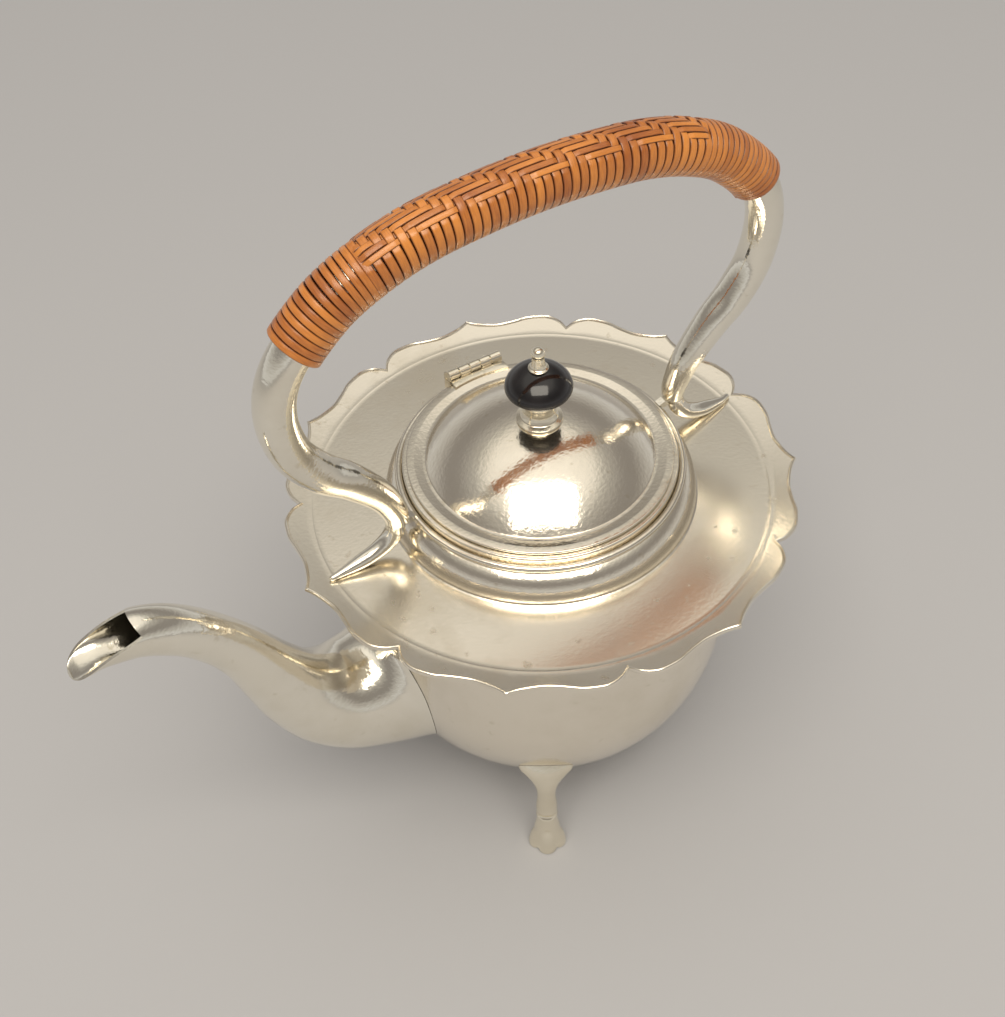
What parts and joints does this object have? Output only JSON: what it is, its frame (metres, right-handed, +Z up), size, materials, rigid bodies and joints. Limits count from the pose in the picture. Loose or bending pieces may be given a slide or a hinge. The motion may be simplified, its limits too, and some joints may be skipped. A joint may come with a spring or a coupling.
{
  "type": "spirit kettle",
  "caption": "Silver-plated spirit kettle on cast feet, with a scalloped flange, swan-neck spout, hinged domed lid and cane-bound overhead handle, for hot water at table.",
  "frame": {"origin": "on the surface the feet stand on, under the vertical axis of the body", "axes": "+Z up along the axis of globe, neck and lid; the spout points to -X and the handle lies in the XZ plane; the lid's hinge is at +Y"},
  "size_m": [0.2323, 0.1574, 0.2335],
  "materials": {
    "silver_plate": "polished silver plate, warm, lightly worn",
    "cane": "split cane, varnished orange-brown",
    "knob_black": "turned black knob, glossy"
  },
  "bodies": {
    "kettle": {"body_bowl": "silver_plate", "scalloped_flange": "silver_plate", "neck_drum": "silver_plate", "neck_bead": "silver_plate", "lid_seat_ring": "silver_plate", "spout": "silver_plate", "foot_rear": "silver_plate", "foot_left": "silver_plate", "foot_right": "silver_plate", "handle_tube": "silver_plate", "front_scroll": "silver_plate", "rear_scroll": "silver_plate", "front_strut": "silver_plate", "rear_strut": "silver_plate", "cane_front_turns": "cane", "cane_woven_grip": "cane", "cane_rear_turns": "cane", "body_hinge_leaf": "silver_plate", "hinge_pin": "silver_plate"},
    "lid": {"lid_dome": "silver_plate", "lid_bezel": "silver_plate", "lid_hinge_leaf": "silver_plate", "finial_ferrule": "silver_plate", "finial_knob": "knob_black", "finial_skirt": "silver_plate", "finial_bolt": "silver_plate", "lid_washer": "silver_plate", "lid_nut": "silver_plate"}
  },
  "joints": [
    {"name": "lid_hinge", "type": "hinge", "parent": "kettle", "child": "lid", "pos_m": [0, 0.0427, 0.1292], "axis": [-1, 0, 0], "range_deg": [0, 105]}
  ]
}
